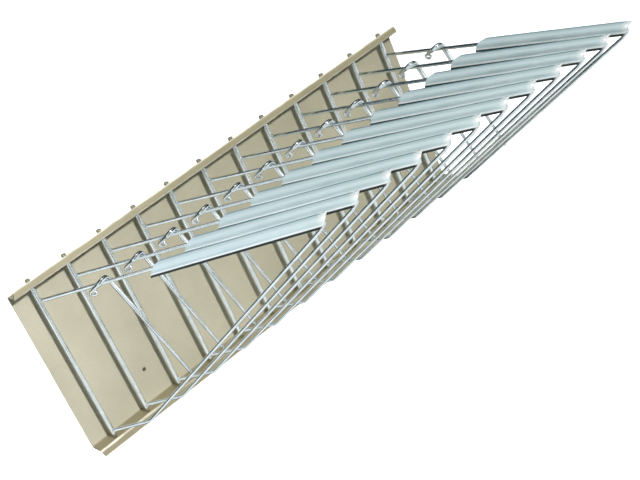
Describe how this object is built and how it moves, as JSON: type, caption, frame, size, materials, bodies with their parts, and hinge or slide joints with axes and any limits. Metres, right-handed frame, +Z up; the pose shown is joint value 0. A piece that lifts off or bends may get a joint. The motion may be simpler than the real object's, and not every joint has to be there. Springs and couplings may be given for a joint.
{
  "type": "hanging file rack",
  "caption": "Wall panel in folded sheet with a row of swinging triangular wire brackets, each with a hooked brace and a flat-topped channel for hanging sheet clamps.",
  "frame": {"origin": "middle of the panel's back face, where it lies on the wall", "axes": "+X along the panel to the right for a person facing it, +Y into the wall, +Z up"},
  "size_m": [0.684, 0.3526, 0.2375],
  "materials": {
    "sand_powder_coat": "satin powder coat",
    "plated_rod": "bright plated",
    "plated_wire": "bright plated",
    "galvanised_sheet": "smooth plated sheet"
  },
  "bodies": {
    "panel": {"back_panel": "sand_powder_coat"},
    "bracket_01": {"pivot_rod_01": "plated_rod", "bracket_wire_01": "plated_wire", "brace_hook_01": "plated_wire", "clamp_channel_01": "galvanised_sheet"},
    "bracket_02": {"pivot_rod_02": "plated_rod", "bracket_wire_02": "plated_wire", "brace_hook_02": "plated_wire", "clamp_channel_02": "galvanised_sheet"},
    "bracket_03": {"pivot_rod_03": "plated_rod", "bracket_wire_03": "plated_wire", "brace_hook_03": "plated_wire", "clamp_channel_03": "galvanised_sheet"},
    "bracket_04": {"pivot_rod_04": "plated_rod", "bracket_wire_04": "plated_wire", "brace_hook_04": "plated_wire", "clamp_channel_04": "galvanised_sheet"},
    "bracket_05": {"pivot_rod_05": "plated_rod", "bracket_wire_05": "plated_wire", "brace_hook_05": "plated_wire", "clamp_channel_05": "galvanised_sheet"},
    "bracket_06": {"pivot_rod_06": "plated_rod", "bracket_wire_06": "plated_wire", "brace_hook_06": "plated_wire", "clamp_channel_06": "galvanised_sheet"},
    "bracket_07": {"pivot_rod_07": "plated_rod", "bracket_wire_07": "plated_wire", "brace_hook_07": "plated_wire", "clamp_channel_07": "galvanised_sheet"},
    "bracket_08": {"pivot_rod_08": "plated_rod", "bracket_wire_08": "plated_wire", "brace_hook_08": "plated_wire", "clamp_channel_08": "galvanised_sheet"},
    "bracket_09": {"pivot_rod_09": "plated_rod", "bracket_wire_09": "plated_wire", "brace_hook_09": "plated_wire", "clamp_channel_09": "galvanised_sheet"},
    "bracket_10": {"pivot_rod_10": "plated_rod", "bracket_wire_10": "plated_wire", "brace_hook_10": "plated_wire", "clamp_channel_10": "galvanised_sheet"},
    "bracket_11": {"pivot_rod_11": "plated_rod", "bracket_wire_11": "plated_wire", "brace_hook_11": "plated_wire", "clamp_channel_11": "galvanised_sheet"},
    "bracket_12": {"pivot_rod_12": "plated_rod", "bracket_wire_12": "plated_wire", "brace_hook_12": "plated_wire", "clamp_channel_12": "galvanised_sheet"}
  },
  "joints": [
    {"name": "bracket_01_swing", "type": "hinge", "parent": "panel", "child": "bracket_01", "pos_m": [-0.2794, -0.0155, 0], "axis": [0, 0, 1], "range_deg": [-55, 12]},
    {"name": "bracket_02_swing", "type": "hinge", "parent": "panel", "child": "bracket_02", "pos_m": [-0.2286, -0.0155, 0], "axis": [0, 0, 1], "range_deg": [-55, 12]},
    {"name": "bracket_03_swing", "type": "hinge", "parent": "panel", "child": "bracket_03", "pos_m": [-0.1778, -0.0155, 0], "axis": [0, 0, 1], "range_deg": [-55, 12]},
    {"name": "bracket_04_swing", "type": "hinge", "parent": "panel", "child": "bracket_04", "pos_m": [-0.127, -0.0155, 0], "axis": [0, 0, 1], "range_deg": [-55, 12]},
    {"name": "bracket_05_swing", "type": "hinge", "parent": "panel", "child": "bracket_05", "pos_m": [-0.0762, -0.0155, 0], "axis": [0, 0, 1], "range_deg": [-55, 12]},
    {"name": "bracket_06_swing", "type": "hinge", "parent": "panel", "child": "bracket_06", "pos_m": [-0.0254, -0.0155, 0], "axis": [0, 0, 1], "range_deg": [-55, 12]},
    {"name": "bracket_07_swing", "type": "hinge", "parent": "panel", "child": "bracket_07", "pos_m": [0.0254, -0.0155, 0], "axis": [0, 0, 1], "range_deg": [-55, 12]},
    {"name": "bracket_08_swing", "type": "hinge", "parent": "panel", "child": "bracket_08", "pos_m": [0.0762, -0.0155, 0], "axis": [0, 0, 1], "range_deg": [-55, 12]},
    {"name": "bracket_09_swing", "type": "hinge", "parent": "panel", "child": "bracket_09", "pos_m": [0.127, -0.0155, 0], "axis": [0, 0, 1], "range_deg": [-55, 12]},
    {"name": "bracket_10_swing", "type": "hinge", "parent": "panel", "child": "bracket_10", "pos_m": [0.1778, -0.0155, 0], "axis": [0, 0, 1], "range_deg": [-55, 12]},
    {"name": "bracket_11_swing", "type": "hinge", "parent": "panel", "child": "bracket_11", "pos_m": [0.2286, -0.0155, 0], "axis": [0, 0, 1], "range_deg": [-55, 12]},
    {"name": "bracket_12_swing", "type": "hinge", "parent": "panel", "child": "bracket_12", "pos_m": [0.2794, -0.0155, 0], "axis": [0, 0, 1], "range_deg": [-55, 12]}
  ],
  "couplings": [
    {"joint": "bracket_02_swing", "follows": "bracket_01_swing", "ratio": 1},
    {"joint": "bracket_03_swing", "follows": "bracket_01_swing", "ratio": 1},
    {"joint": "bracket_04_swing", "follows": "bracket_01_swing", "ratio": 1},
    {"joint": "bracket_05_swing", "follows": "bracket_01_swing", "ratio": 1},
    {"joint": "bracket_06_swing", "follows": "bracket_01_swing", "ratio": 1},
    {"joint": "bracket_07_swing", "follows": "bracket_01_swing", "ratio": 1},
    {"joint": "bracket_08_swing", "follows": "bracket_01_swing", "ratio": 1},
    {"joint": "bracket_09_swing", "follows": "bracket_01_swing", "ratio": 1},
    {"joint": "bracket_10_swing", "follows": "bracket_01_swing", "ratio": 1},
    {"joint": "bracket_11_swing", "follows": "bracket_01_swing", "ratio": 1},
    {"joint": "bracket_12_swing", "follows": "bracket_01_swing", "ratio": 1}
  ]
}
